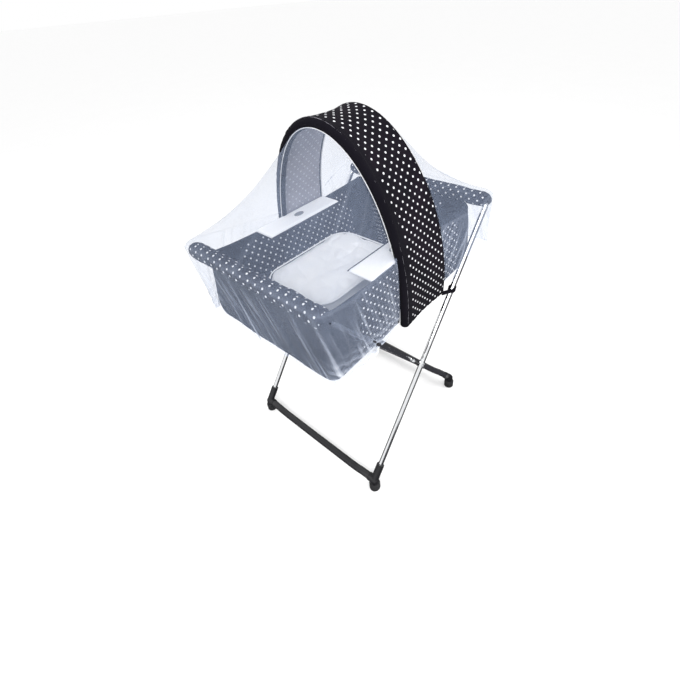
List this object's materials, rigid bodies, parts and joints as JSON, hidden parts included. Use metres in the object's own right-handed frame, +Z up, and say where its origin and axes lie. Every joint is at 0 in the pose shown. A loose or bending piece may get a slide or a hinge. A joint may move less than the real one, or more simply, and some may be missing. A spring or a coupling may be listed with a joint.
{
  "type": "bassinet on stand",
  "caption": "Baby bassinet: a dotted fabric basket with a pad, slung between the top rails of a folding crossed-leg tube stand, under an arched hood with mosquito nets.",
  "frame": {"origin": "on the floor, at the middle of the object's footprint", "axes": "+Z up; +X from the front rail to the back rail; +Y to the left side"},
  "size_m": [0.716, 0.554, 1.07],
  "materials": {
    "chrome": "bright chrome plating on round steel tube",
    "black_plastic": "satin black moulded plastic and black painted bar",
    "rubber": "matt ribbed black rubber",
    "steel": "zinc plated",
    "dotted_fabric": "black woven cotton with small white polka dots",
    "white_fabric": "white quilted cotton",
    "net": "white mosquito net, a fine open mesh",
    "board": "hardboard",
    "badge": "satin grey, blank"
  },
  "bodies": {
    "outer_frame": {"outer_leg_left": "chrome", "outer_leg_right": "chrome", "outer_corner_left": "chrome", "outer_corner_right": "chrome", "outer_foot_elbow_left": "black_plastic", "outer_foot_elbow_right": "black_plastic", "outer_rubber_foot_left": "rubber", "outer_rubber_foot_right": "rubber", "front_foot_bar": "black_plastic", "back_rail": "chrome", "back_rail_sleeve": "dotted_fabric", "pivot_bolt_left": "steel", "pivot_bolt_right": "steel", "pivot_washer_left": "black_plastic", "pivot_washer_right": "black_plastic", "pivot_nut_left": "steel", "pivot_nut_right": "steel", "skirt_back": "dotted_fabric", "skirt_left": "dotted_fabric", "skirt_front": "dotted_fabric", "skirt_right": "dotted_fabric", "lining_back": "dotted_fabric", "lining_left": "dotted_fabric", "lining_front": "dotted_fabric", "lining_right": "dotted_fabric", "basket_underside": "dotted_fabric", "lining_floor": "dotted_fabric", "base_board": "board"},
    "inner_frame": {"inner_leg_left": "chrome", "inner_leg_right": "chrome", "inner_corner_left": "chrome", "inner_corner_right": "chrome", "inner_foot_elbow_left": "black_plastic", "inner_foot_elbow_right": "black_plastic", "inner_rubber_foot_left": "rubber", "inner_rubber_foot_right": "rubber", "back_foot_bar": "black_plastic", "front_rail": "chrome", "front_rail_sleeve": "dotted_fabric"},
    "mattress": {"mattress_pad": "white_fabric"},
    "canopy": {"canopy_band": "dotted_fabric", "canopy_hoop_front": "steel", "canopy_hoop_back": "steel", "net_front": "net", "net_back": "net", "leg_strap_left": "black_plastic", "leg_strap_right": "black_plastic"},
    "left_flap": {"left_flap": "white_fabric", "left_badge": "badge"},
    "right_flap": {"right_flap": "white_fabric", "right_badge": "badge"}
  },
  "joints": [
    {"name": "fold", "type": "hinge", "parent": "outer_frame", "child": "inner_frame", "pos_m": [0, 0, 0.36539], "axis": [0, 1, 0], "range_deg": [0, 64], "deforming": ["skirt_back", "skirt_left", "skirt_front", "skirt_right", "lining_back", "lining_left", "lining_front", "lining_right", "basket_underside", "lining_floor", "base_board", "mattress_pad", "canopy_band", "canopy_hoop_front", "canopy_hoop_back", "net_front", "net_back", "leg_strap_left", "leg_strap_right"]},
    {"name": "mattress_lift", "type": "slide", "parent": "outer_frame", "child": "mattress", "axis": [0, 0, 1], "range_m": [0, 0.2]},
    {"name": "canopy_lift", "type": "slide", "parent": "outer_frame", "child": "canopy", "axis": [0, 0, 1], "range_m": [0, 0.35]},
    {"name": "left_flap_lift", "type": "hinge", "parent": "outer_frame", "child": "left_flap", "pos_m": [-0.02, 0.214, 0.7645], "axis": [-1, 0, 0], "range_deg": [0, 45]},
    {"name": "right_flap_lift", "type": "hinge", "parent": "outer_frame", "child": "right_flap", "pos_m": [-0.02, -0.214, 0.7645], "axis": [1, 0, 0], "range_deg": [0, 45]}
  ]
}
